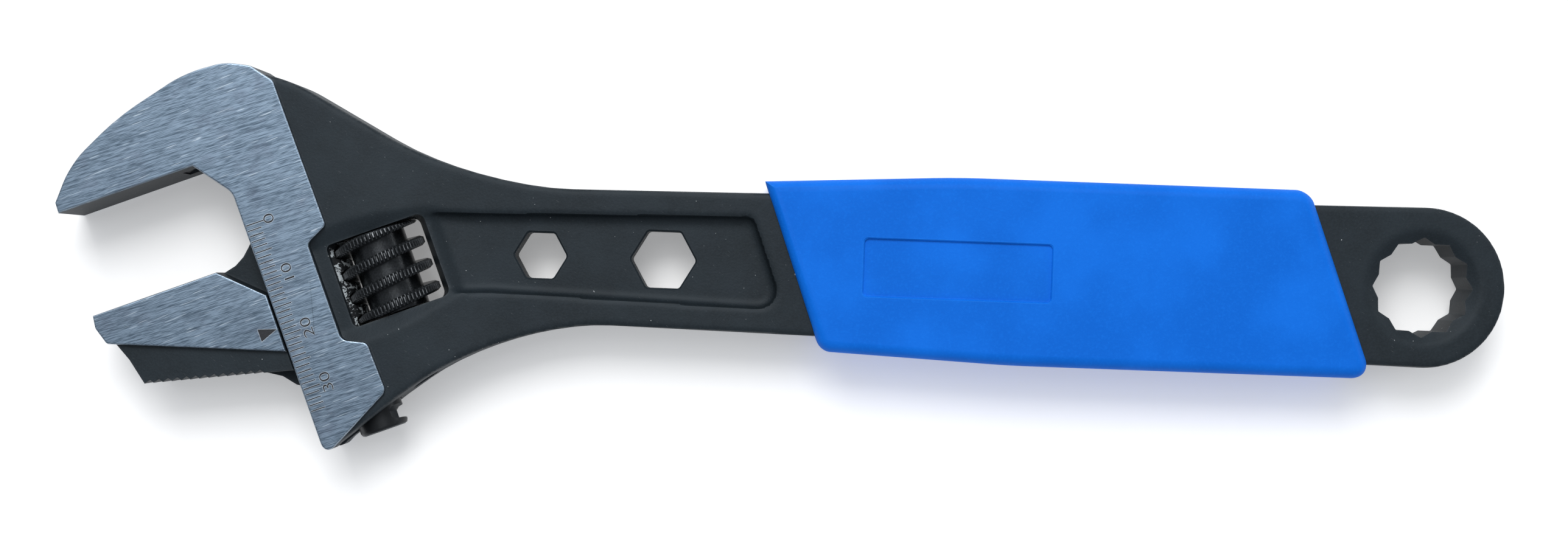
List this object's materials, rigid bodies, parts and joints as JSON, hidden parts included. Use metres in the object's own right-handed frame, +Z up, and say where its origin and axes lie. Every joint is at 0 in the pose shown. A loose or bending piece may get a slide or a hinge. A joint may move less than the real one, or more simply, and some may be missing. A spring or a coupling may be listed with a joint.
{
  "type": "adjustable wrench",
  "caption": "Adjustable wrench with a worm-driven sliding jaw, a millimetre scale, hexagon holes, a moulded grip and a twelve-point ring end.",
  "frame": {"origin": "middle of the wrench's base as it lies flat, at the centre of its length and width", "axes": "+X along the handle from the head to the ring end, +Y towards the fixed jaw's back, +Z up through the wrench's thickness"},
  "size_m": [0.252, 0.0664, 0.016],
  "materials": {
    "body": "black phosphated forging with ground head faces",
    "movable_jaw": "ground faces, black flank and web",
    "knurl": "black phosphated, finely notched",
    "knurl_pin": "blackened",
    "knurl_spring": "bright spring wire",
    "grip_sleeve": "moulded, fine matte grain"
  },
  "bodies": {
    "handle": {"body": "body", "grip_sleeve": "grip_sleeve", "knurl_pin": "knurl_pin"},
    "jaw": {"movable_jaw": "movable_jaw"},
    "worm": {"knurl": "knurl", "knurl_spring": "knurl_spring"}
  },
  "joints": [
    {"name": "knurl_spin", "type": "hinge", "parent": "handle", "child": "worm", "pos_m": [-0.06919, -0.00205, 0.008], "axis": [-0.3665, 0.9304, 0], "range_deg": [-1590, 1311]},
    {"name": "jaw_slide", "type": "slide", "parent": "handle", "child": "jaw", "axis": [0.3665, -0.9304, 0], "range_m": [-0.0185, 0.01525]}
  ],
  "couplings": [
    {"joint": "knurl_spin", "follows": "jaw_slide", "rad_per_m": 1499.6}
  ]
}
